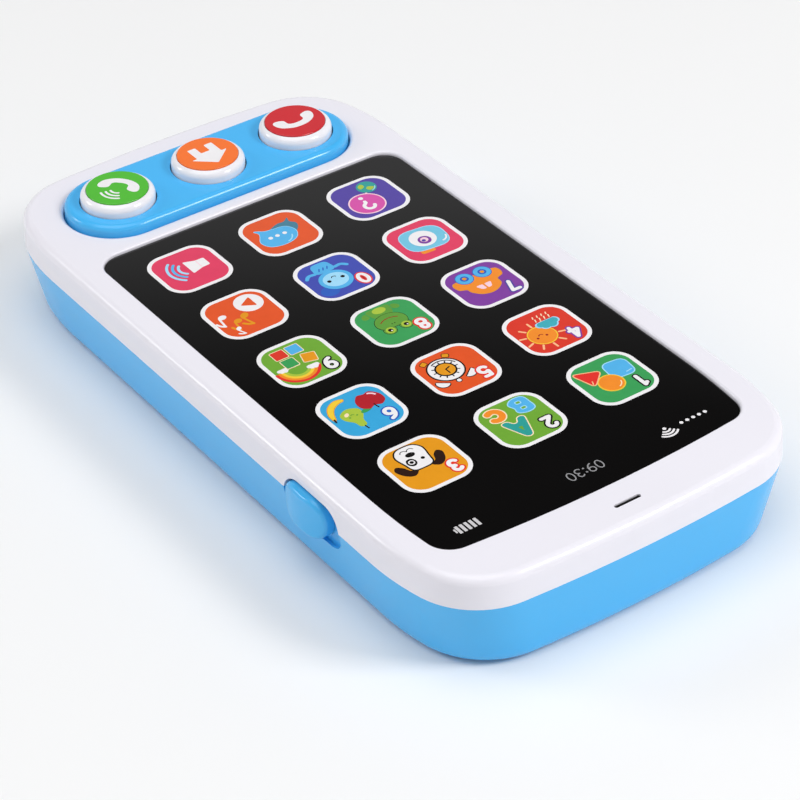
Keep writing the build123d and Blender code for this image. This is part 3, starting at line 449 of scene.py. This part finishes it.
def dots(art, ink, places, r):
    """Small filled circles."""
    for x, y in places:
        art.draw(ink, oval(x, y, r, steps=20))


def smile(art, x, y, size, ink="black"):
    """A small friendly face: two round eyes and a curved mouth."""
    dots(art, ink, [(x - size, y), (x + size, y)], 0.26 * size)
    art.line(ink, arc(x, y - 0.35 * size, 0.45 * size, 200, 340, 10), 0.2 * size)


def cloud(art, ink, x, y, size):
    """Four puffs on a flat foot."""
    for dx, dy, r in ((-0.95, -0.1, 0.55), (-0.3, 0.3, 0.72), (0.5, 0.22, 0.66), (1.05, -0.12, 0.5)):
        art.draw(ink, oval(x + dx * size, y + dy * size, r * size, steps=28))
    art.draw(ink, slab(x, y - 0.3 * size, 2.6 * size, 0.65 * size, 0.3 * size))


# ---- the fifteen icons: millimetres about the icon's own middle, x to the right, y up ---------
def shapes_icon(art):
    """A square, a disc and a triangle."""
    disc = (1.0, 1.05)
    art.edged("azure", "pale_blue", slab(-2.75, -1.7, 4.7, 4.7, 1.5, -6), 0.25)
    art.edged("orange", "yellow", oval(*disc, 2.3), 0.25)
    art.edged("scarlet", "peach", rounded([(4.0, 0.2), (5.4, -4.9), (0.5, -2.9)], 0.9), 0.25)
    art.line("cream", arc(*disc, 1.75, 110, 165, 8), 0.22)
    art.line("pale_blue", [(-4.5, -0.2), (-3.3, -0.05)], 0.25)
    art.line("peach", [(3.6, -1.2), (3.95, -0.4)], 0.22)
    key_digit(art, "1", "black")


def letters_icon(art):
    """The first three letters."""
    big_a = rounded([(-2.5, -2.7), (-0.55, 2.7), (0.65, 2.7), (2.6, -2.7), (1.15, -2.9), (0.55, -1.5),
                     (-0.45, -1.5), (-1.05, -2.9)], 0.9)
    art.edged("teal", "cream", turned(big_a, 0, 1.2, 1.9), 0.22)
    art.draw("leaf", rounded([(0.8, 1.5), (1.7, 1.5), (1.25, 2.9)], 0.25))
    big_b = smooth([(-4.3, -1.6), (-2.6, -1.2), (-1.1, -1.9), (-1.2, -3.2), (-0.8, -4.6), (-2.2, -5.6),
                    (-4.2, -5.3), (-4.5, -3.4)])
    art.edged("azure", "pale_blue", big_b, 0.22)
    for y in (-2.55, -4.3):
        art.draw("pale_blue", slab(-2.65, y, 1.25, 0.95, 0.4))
        art.draw("leaf", slab(-2.65, y, 0.85, 0.55, 0.25))
    big_c = arc(3.0, -3.5, 1.35, 50, 310)
    art.line("cream", big_c, 1.75)
    art.line("orange", big_c, 1.25)
    key_digit(art, "2", "black")


def dog_icon(art):
    """A dog's head with brown ears and a patch round one eye."""
    ear = smooth([(1.4, 0.9), (2.7, 1.9), (4.2, 1.0), (5.0, -0.9), (4.3, -1.9), (3.2, -1.1), (2.6, 0.2)])
    for side in (-1, 1):
        art.draw("brown", [(0.6 + side * x, y) for x, y in ear])
    head = smooth([(0.6, 0.75), (2.5, 0.4), (3.0, -1.6), (3.35, -4.0), (2.4, -5.5), (0.6, -5.85),
                   (-1.2, -5.5), (-2.15, -4.0), (-1.8, -1.6), (-1.3, 0.4)])
    art.edged("white", "black", head, 0.3)
    left_eye, right_eye = (-0.6, -1.5), (1.75, -1.5)
    art.draw("black", oval(*right_eye, 0.95, 1.1))
    art.draw("white", oval(*right_eye, 0.62))
    dots(art, "black", [right_eye, left_eye], 0.38)
    art.draw("black", oval(0.7, -3.45, 0.95, 0.62))
    for x in (0.0, 1.4):
        art.line("black", arc(x, -4.3, 0.7, 200, 340, 10), 0.16)
    key_digit(art, "3", "scarlet")


def spoke(x, y, inner, outer, angle):
    """A short line that points away from (x, y)."""
    return turned([(inner, 0), (outer, 0)], angle, x, y)


def weather_icon(art):
    """The sun behind a cloud with rain."""
    sun = (1.7, 0.9)
    for angle in range(20, 380, 36):
        ray = spoke(*sun, 3.2, 4.4, angle)
        if ray[0][0] > -1.0 or ray[0][1] > 0:       # the cloud hides the others
            art.line("peach", ray, 0.42)
    art.edged("orange", "yellow", oval(*sun, 2.65), 0.22)
    smile(art, 2.0, 1.3, 1.0, "dark_red")
    cloud(art, "pale_blue", -1.5, -1.6, 1.7)
    cloud(art, "lagoon", -1.5, -1.6, 1.45)
    for x in (-2.9, -1.9, -0.9, 0.1):
        art.line("cream", [(x, -3.1), (x - 0.25, -3.8)], 0.24)
        art.line("cream", [(x - 0.1, -4.2), (x - 0.3, -4.7)], 0.24)
    key_digit(art, "4", "purple")


def clock_icon(art):
    """An alarm clock with two bells and two feet."""
    dial = (1.45, -1.1)
    x = dial[0]
    for side in (-1, 1):
        art.edged("amber", "black", slab(x + side * 2.4, -4.7, 1.2, 1.0, 0.3, 30 * side), 0.14)
        bell = turned(arc(0, 0, 1.3, 0, 180, 14), -38 * side, x + side * 2.85, 2.0)
        art.edged("white", "black", bell, 0.22)
    art.edged("white", "black", oval(x, 2.95, 0.42), 0.18)
    art.edged("white", "black", oval(*dial, 3.3), 0.3)
    art.line("black", arc(*dial, 2.85, 200, 300, 14), 0.26)
    for hour in range(12):
        art.line("black", spoke(*dial, 1.8, 2.5, 30 * hour), 0.26)
    art.edged("amber", "black", oval(*dial, 1.75), 0.34)
    for tip in ((x, 0.15), (0.5, -1.45)):
        art.line("black", [dial, tip], 0.26)
    key_digit(art, "5", "scarlet")


def fruit_icon(art):
    """A pear, an apple and a banana."""
    pear = smooth([(2.0, 4.0), (2.75, 3.5), (3.0, 2.2), (4.1, 0.6), (4.0, -1.0), (2.2, -2.0), (0.3, -1.2),
                   (0.1, 0.5), (1.1, 2.2), (1.3, 3.5)])
    art.draw("lime", pear)
    art.line("brown", [(1.95, 3.9), (1.85, 4.9)], 0.26)
    art.draw("cream", oval(2.9, -0.5, 0.6, 0.4, 40, 20))
    smile(art, 2.1, 0.5, 0.75, "moss")
    art.draw("green", turned(oval(0, 0, 1.3, 0.55), 12, -0.9, 0.2))
    apple = smooth([(-2.9, -0.1), (-1.6, 0.35), (-0.35, -0.7), (-0.4, -2.6), (-1.6, -4.1), (-2.9, -3.9),
                    (-4.2, -4.1), (-5.4, -2.6), (-5.45, -0.7), (-4.2, 0.35)])
    art.draw("crimson", apple)
    art.line("brown", [(-2.9, -0.4), (-3.05, 0.85)], 0.26)
    art.line("pale_pink", arc(-3.1, -2.0, 1.75, 205, 250, 8), 0.4)
    banana = smooth([(1.0, -4.9), (2.6, -5.2), (4.4, -4.2), (5.45, -2.4), (5.6, -0.6), (5.2, -0.4),
                     (4.6, -2.0), (3.6, -3.4), (2.2, -4.2), (1.1, -4.4)])
    art.edged("yellow", "amber", banana, 0.14)
    art.line("brown", [(5.42, -0.6), (5.5, 0.2)], 0.34)
    key_digit(art, "6", "deep_blue")


def car_icon(art):
    """A small car from the side."""
    body = smooth([(-4.9, -2.5), (-4.6, -0.9), (-3.0, -0.2), (-2.6, 1.6), (-0.4, 2.9), (1.9, 2.6),
                   (3.4, 1.0), (3.7, -0.3), (5.0, -1.1), (5.1, -2.8), (3.6, -3.3), (-3.6, -3.3)])
    art.edged("orange", "amber", body, 0.2)
    window = [(0.2, 1.5), (1.1, 1.3), (1.7, -0.1), (0.2, -0.1)]
    for side in (-1, 1):
        art.draw("pale_pink", rounded([(0.25 + side * x, y) for x, y in window], 0.35))
    for x in (-2.0, 2.1):
        art.edged("azure", "deep_blue", oval(x, -3.5, 1.7), 0.16)
        art.draw("deep_blue", oval(x, -3.5, 0.85))
        art.draw("amber", oval(x, -3.5, 0.42))
    key_digit(art, "7", "violet")


def frog_icon(art):
    """A sitting frog."""
    for side in (-1, 1):
        art.draw("moss", oval(0.3 + side * 3.2, -4.3, 1.0, 0.75, 40 * side))
    art.edged("moss", "green", rounded([(-2.4, -5.7), (-1.7, -2.6), (2.4, -2.6), (3.1, -5.7)], 1.0), 0.14)
    art.draw("lime", oval(0.3, -4.7, 1.4, 0.95))
    eyes_x = (-1.3, 2.2)
    for x in eyes_x:
        art.edged("moss", "black", oval(x, 1.75, 1.25), 0.1)
    head = smooth([(0.45, 1.3), (2.9, 1.2), (3.7, -0.6), (2.7, -2.4), (0.45, -3.1), (-1.8, -2.4),
                   (-2.8, -0.6), (-2.0, 1.2)])
    art.edged("moss", "black", head, 0.1)
    for x in eyes_x:
        art.draw("lime", oval(x, 1.85, 0.95))
        art.draw("black", oval(x, 1.85, 0.5))
        art.draw("white", oval(x - 0.15, 2.05, 0.17, steps=16))
    dots(art, "black", [(0.2, 0.3), (0.8, 0.3)], 0.12)
    mouth = smooth([(-1.4, -1.1), (-0.4, -1.55), (0.5, -1.65), (1.5, -1.5), (2.4, -1.0)], False)
    art.line("dark_red", mouth, 0.2)
    key_digit(art, "8", "scarlet")


def rainbow_icon(art):
    """A rainbow with clouds over four building blocks."""
    for r, ink in ((4.15, "scarlet"), (3.55, "orange"), (2.95, "yellow"), (2.35, "lime")):
        art.line(ink, arc(1.9, 1.2, r, 0, 160, 24), 0.62)
    cloud(art, "white", -0.9, 2.4, 0.85)
    cloud(art, "white", 4.3, 0.5, 0.8)
    for x, y, ink, turn in ((-1.8, -0.3, "amber", -16), (2.1, -0.7, "green", 0), (-0.9, -4.0, "azure", 0),
                            (2.3, -3.95, "red", 0)):
        art.edged(ink, "cream", slab(x, y, 2.6, 2.6, 0.25, turn), 0.16)
    key_digit(art, "9", "black")


def camera_icon(art):
    """A round-bodied camera with a large lens."""
    art.draw("orange", slab(1.7, 3.4, 3.0, 1.3, 0.5, -4))
    art.edged("aqua", "pale_blue", slab(-0.1, -0.5, 9.0, 7.2, 3.0, -6), 0.22)
    art.line("white", arc(-2.6, 0.6, 1.6, 95, 170, 8), 0.35)
    art.draw("white", oval(0.1, -0.6, 2.7))
    art.draw("purple", oval(0.1, 0.0, 1.35))
    art.draw("pale_pink", oval(0.1, -0.1, 0.8))
    art.draw("violet", oval(0.35, 0.1, 0.42, steps=20))


def buddy_icon(art):
    """A plain round-headed figure with open arms."""
    art.draw("deep_blue", oval(3.7, 3.5, 1.9, 1.6))
    arm = [(2.3, -2.9), (3.6, -3.0), (4.5, -2.2)]
    for side in (-1, 1):
        art.line("azure", smooth([(0.65 + side * x, y) for x, y in arm], False), 0.75)
    art.draw("azure", rounded([(-1.7, -2.3), (3.0, -2.3), (2.5, -5.7), (-1.2, -5.7)], 1.2))
    for x in (-0.3, 0.6, 1.5):
        art.line("deep_blue", [(x - 0.2, -3.9), (x + 0.25, -3.2)], 0.24)
    art.draw("azure", oval(0.65, 0.85, 3.35, 3.2))
    art.draw("pale_blue", oval(0.65, 0.8, 2.55, 2.3))
    dots(art, "black", [(-0.9, 0.75), (2.1, 0.75)], 0.42)
    art.line("black", arc(0.6, 0.15, 0.5, 200, 340, 10), 0.18)
    art.draw("dark_red", oval(-3.75, 3.55, 0.7, 1.2))
    key_digit(art, "0", "scarlet")


def note(art, ink, x, y, size, turn):
    """A quaver: an oval head, a stem and a flag."""
    art.draw(ink, oval(x, y, 0.62 * size, 0.48 * size, 20 + turn, 28))
    stem = turned([(0.5, 0.1), (0.5, 2.1)], turn)
    art.line(ink, [(x + px * size, y + py * size) for px, py in stem], 0.3 * size)
    flag = turned(smooth([(0.5, 2.1), (1.0, 1.75), (1.35, 1.15)], False), turn)
    art.line(ink, [(x + px * size, y + py * size) for px, py in flag], 0.36 * size)


def music_icon(art):
    """A play button with four quavers."""
    art.draw("white", oval(-2.55, -2.65, 2.85))
    art.draw("vermilion", rounded([(-3.5, -1.0), (-3.5, -4.3), (-0.8, -2.65)], 0.45))
    note(art, "amber", 0.3, 0.4, 1.5, 14)
    note(art, "amber", 2.2, 1.2, 1.35, -8)
    note(art, "white", 3.4, 3.4, 0.95, 20)
    note(art, "white", 4.0, -1.4, 1.4, -6)


def question_icon(art):
    """A question mark in a magnifying glass, beside a globe."""
    globe = (-1.95, -3.5)
    art.line("pale_pink", [(-0.4, -1.2), (-1.6, -3.0)], 0.4)
    art.edged("pink", "pale_pink", oval(1.3, 1.6, 3.45), 0.3)
    art.line("white", arc(1.35, 2.5, 1.05, 170, -45) + [(1.4, 1.2), (1.35, 0.75)], 0.75)
    art.draw("white", oval(1.35, -0.65, 0.5, steps=24))
    art.draw("teal", oval(*globe, 2.05))
    art.draw("lime", smooth([(-3.3, -2.7), (-2.2, -2.1), (-1.6, -2.9), (-2.3, -3.5)]))
    art.draw("lime", smooth([(-1.7, -3.9), (-0.6, -3.4), (-0.5, -4.4), (-1.5, -4.9)]))
    art.line("pale_blue", arc(*globe, 1.7, 100, 160, 8), 0.2)


def chat_icon(art):
    """Two speech bubbles, the front one with three dots."""
    back = smooth([(-3.9, 0.2), (-2.0, 1.8), (1.0, 1.4), (1.5, -1.6), (-1.0, -3.0), (-2.6, -3.0),
                   (-3.9, -3.8), (-3.6, -2.5), (-4.4, -1.3)])
    art.draw("slate", back)
    front = smooth([(-2.9, 0.8), (-1.6, 3.1), (1.3, 3.9), (4.1, 3.1), (5.0, 0.9), (3.9, -1.2),
                    (3.6, -2.2), (4.0, -3.3), (2.2, -2.2), (0.6, -1.9), (-1.9, -1.4)])
    art.edged("azure", "pale_blue", front, 0.12)
    art.line("pale_blue", arc(1.0, 0.9, 2.6, 105, 160, 10), 0.28)
    dots(art, "white", [(-0.6, 0.5), (1.05, 0.5), (2.6, 0.5)], 0.46)


def speaker_icon(art):
    """A loudspeaker with three waves."""
    horn = [(-4.0, 0.85), (-2.2, 0.95), (0.15, 1.75), (0.15, -2.7), (-2.2, -1.8), (-4.0, -1.8)]
    art.draw("white", rounded(horn, 0.35))
    art.line("pale_pink", [(-2.2, 0.7), (-2.2, -1.5)], 0.18)
    for r, ink in ((2.1, "pale_blue"), (3.2, "azure"), (4.3, "pale_blue")):
        art.line(ink, arc(-0.1, -0.4, r, -50, 50, 20), 0.55)


# name, ground and picture of each icon, in rows from the earpiece end
ICONS = [
    [("icon_1", "green", shapes_icon), ("icon_2", "leaf", letters_icon), ("icon_3", "amber", dog_icon)],
    [("icon_4", "red", weather_icon), ("icon_5", "vermilion", clock_icon), ("icon_6", "sky", fruit_icon)],
    [("icon_7", "purple", car_icon), ("icon_8", "green", frog_icon), ("icon_9", "leaf", rainbow_icon)],
    [("icon_camera", "rose", camera_icon), ("icon_0", "indigo", buddy_icon),
     ("icon_music", "vermilion", music_icon)],
    [("icon_question", "violet", question_icon), ("icon_chat", "vermilion", chat_icon),
     ("icon_speaker", "rose", speaker_icon)],
]
ICON_HALF = 7.03            # half the width of an icon with its white border, in millimetres
ICON_CORNER = 4.12
ICON_BORDER = 0.82
for line, row in enumerate(ICONS):
    for column, (name, ground, picture) in enumerate(row):
        icon = Artwork(name, (column - 1) * ICON_PITCH_X, TOP_ROW_Y - line * ICON_PITCH_Y, SCREEN_TOP)
        icon.draw("white", squircle(ICON_HALF, ICON_CORNER))
        icon.draw(ground, squircle(ICON_HALF - ICON_BORDER, ICON_CORNER - ICON_BORDER))
        picture(icon)
        icon.finish("case")


# ---- status line at the top of the screen ----------------------------------------------------
SIGNAL_X = -24.35 * MM
FAN_X = -18.2 * MM
FAN_DROP = 0.5 * MM         # the wireless fan's point lies this far below the status line
GAUGE_X = 24.9 * MM
CLOCK_RISE = 0.6 * MM       # the clock and the battery gauge stand this far above it


def signal_dots(art):
    """Five dots in a row."""
    dots(art, "white", [(1.33 * (i - 2), 0.0) for i in range(5)], 0.37)


def wireless_fan(art):
    """A dot under three arcs."""
    art.draw("white", oval(0, 0.1, 0.36, steps=24))
    for r in (1.05, 1.75, 2.45):
        art.line("white", arc(0, 0, r, 45, 135, 14), 0.4)


def clock_digits(art):
    """The time, with its colon."""
    for x, value in zip((-3.05, -1.3, 1.3, 3.05), "0930"):
        digit(art, value, x, 0, 1.4, 0.24, "grey")
    dots(art, "grey", [(0, 0.5), (0, -0.65)], 0.2)


def battery_gauge(art):
    """Five bars and the battery's tip."""
    for i in range(5):
        art.draw("silver", slab(-2.0 + 0.96 * i, 0, 0.6, 2.1, 0.12))
    art.draw("silver", slab(2.45, 0, 0.34, 1.1, 0.1))


STATUS_LINE = (
    ("signal_dots", SIGNAL_X, STATUS_Y, signal_dots),
    ("wireless_fan", FAN_X, STATUS_Y - FAN_DROP, wireless_fan),
    ("clock_digits", SCREEN_MID.x, STATUS_Y + CLOCK_RISE, clock_digits),
    ("battery_gauge", GAUGE_X, STATUS_Y + CLOCK_RISE, battery_gauge),
)
for name, x, y, picture in STATUS_LINE:
    art = Artwork(name, x, y, SCREEN_TOP)
    picture(art)
    art.finish("case")


# ---- painted shade: a black piece at the bottom of the earpiece slot, where the hole is dark ---
EARPIECE = Vector((0.2, 72.2)) * MM
EARPIECE_DEPTH = 0.25 * MM  # the face of the black piece of painted shade lies this far below the case's
EARPIECE_SLOT = slab(0, 0, 5.5, 0.8, 0.4)
earpiece = Artwork("earpiece_painted_shade", EARPIECE.x, EARPIECE.y, top("top_case") - EARPIECE_DEPTH)
earpiece.draw("black", EARPIECE_SLOT)
earpiece.finish("case")


# ---- pictures on the three buttons -----------------------------------------------------------
def handset(scale, turn, x, y):
    """A telephone handset: a bowed grip between two rounded ends."""
    upper = [(-3.9, -0.1), (-3.2, 1.0), (-1.7, 1.85), (0.0, 2.1), (1.7, 1.85), (3.2, 1.0), (3.9, -0.1)]
    lower = [(3.95, -1.2), (3.2, -1.65), (1.85, -1.15), (1.6, 0.15), (0.8, 0.62), (-0.8, 0.62),
             (-1.6, 0.15), (-1.85, -1.15), (-3.2, -1.65), (-3.95, -1.2)]
    outline = smooth(upper + lower, steps=8)
    return turned([(px * scale, py * scale) for px, py in outline], turn, x, y)


def hang_up_picture(art):
    """A handset that lies on its cradle."""
    art.draw("white", handset(1.12, 0, 0.0, 0.1))


def home_picture(art):
    """A house with an open door."""
    house = [(-4.0, 0.7), (0.0, 4.2), (4.0, 0.7), (2.8, 0.7), (2.8, -3.1), (1.0, -3.1), (1.0, -0.7),
             (-1.0, -0.7), (-1.0, -3.1), (-2.8, -3.1), (-2.8, 0.7)]
    art.draw("white", rounded(house, 0.3))


def call_picture(art):
    """A lifted handset with three waves."""
    art.draw("white", handset(1.06, 128, -0.9, -0.5))
    for r in (1.5, 2.5, 3.5):
        art.line("white", arc(0.15, 0.6, r, -12, 62, 14), 0.46)


for name, picture in (("end", hang_up_picture), ("home", home_picture), ("call", call_picture)):
    label = f"{name}_button_label"
    art = Artwork(f"{name}_button_print", middle(label).x, middle(label).y, top(label))
    picture(art)
    art.finish(f"{name}_button")


# ---- rubber domes under the buttons, copied onto the case's body -----------------------------
for name in ("end", "home", "call"):
    node = f"{name}_rubber_dome"
    dome = bpy.data.objects.new(f"{name}_soft_dome", NODES[node].data.copy())
    dome.matrix_world = NODES[node].matrix_world
    bpy.context.scene.collection.objects.link(dome)
    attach(dome, "case")
    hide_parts(node)
    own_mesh(dome)


# ---- floor, light and camera -----------------------------------------------------------------
FLOOR_HALF = 4.0
FLOOR_DROP = 0.2 * MM       # keeps the floor off the plane of the case's flat back
FLOOR_GREY = (0.9, 0.9, 0.9)

bm = bmesh.new()
bmesh.ops.create_grid(bm, x_segments=1, y_segments=1, size=FLOOR_HALF)
floor_mesh = bpy.data.meshes.new("floor")
bm.to_mesh(floor_mesh)
bm.free()
floor = bpy.data.objects.new("floor", floor_mesh)
floor.location.z = -FLOOR_DROP
bpy.context.scene.collection.objects.link(floor)
floor_mesh.materials.append(surface("floor_paper", FLOOR_GREY, roughness=0.7, patch=3.0, spread=0.01))

# name, place in metres, width in metres and power in watts; each is square and faces the toy
SOFTBOXES = (
    ("overhead", (0.3, 0.1, 1.25), 1.2, 7.2),
    ("end_side", (-0.58, 0.75, 0.8), 0.35, 7.0),
    ("switch_side", (0.75, -0.8, 0.6), 0.35, 2.6),
)
for name, place, width, power in SOFTBOXES:
    light = bpy.data.lights.new(name, "AREA")
    light.shape = "RECTANGLE"
    light.size = light.size_y = width
    light.energy = power
    lamp = bpy.data.objects.new(name, light)
    lamp.location = place
    lamp.rotation_euler = (-Vector(place)).to_track_quat("-Z", "Y").to_euler()
    bpy.context.scene.collection.objects.link(lamp)

# brightness of the studio by how far up a ray points: pale at and below the horizon, dark above it
# where the glossy screen mirrors it, bright overhead
STUDIO = ((0.0, 0.85), (0.4, 0.85), (0.53, 0.66), (0.56, 0.26), (0.59, 0.05), (0.76, 0.06), (0.95, 1.0))
STUDIO_BLUE = 1.01          # share of blue over red and green
STUDIO_STRENGTH = 0.68


def studio_world():
    """A world whose brightness changes with height only."""
    world = bpy.data.worlds.new("studio")
    world.use_nodes = True
    tree = world.node_tree
    background = tree.nodes["Background"]
    background.inputs["Strength"].default_value = STUDIO_STRENGTH
    direction = tree.nodes.new("ShaderNodeTexCoord")
    split = tree.nodes.new("ShaderNodeSeparateXYZ")
    ramp = tree.nodes.new("ShaderNodeValToRGB")
    tree.links.new(direction.outputs["Generated"], split.inputs["Vector"])
    tree.links.new(split.outputs["Z"], ramp.inputs["Fac"])
    tree.links.new(ramp.outputs["Color"], background.inputs["Color"])
    stops = ramp.color_ramp.elements
    for place, grey in STUDIO:
        stop = stops.new(place) if place else stops[0]
        stop.position = place
        stop.color = (grey, grey, grey * STUDIO_BLUE, 1)
    return world


bpy.context.scene.world = studio_world()
bpy.context.scene.view_settings.view_transform = "Standard"

CAMERA_PLACE = Vector((0.2416, 0.3603, 0.3159))
CAMERA_AIM = Vector((0.0133, 0.0249, 0.0200))
CAMERA_ROLL = -1.88         # degrees
CAMERA_LENS = 128.2         # millimetres
CAMERA_NEAR = 0.01
camera = bpy.data.objects.new("camera", bpy.data.cameras.new("camera"))
camera.data.lens = CAMERA_LENS
camera.data.clip_start = CAMERA_NEAR
facing = (CAMERA_AIM - CAMERA_PLACE).to_track_quat("-Z", "Y").to_matrix().to_4x4()
camera.matrix_world = (Matrix.Translation(CAMERA_PLACE) @ facing
                       @ Matrix.Rotation(math.radians(CAMERA_ROLL), 4, "Z"))
bpy.context.scene.collection.objects.link(camera)
bpy.context.scene.camera = camera
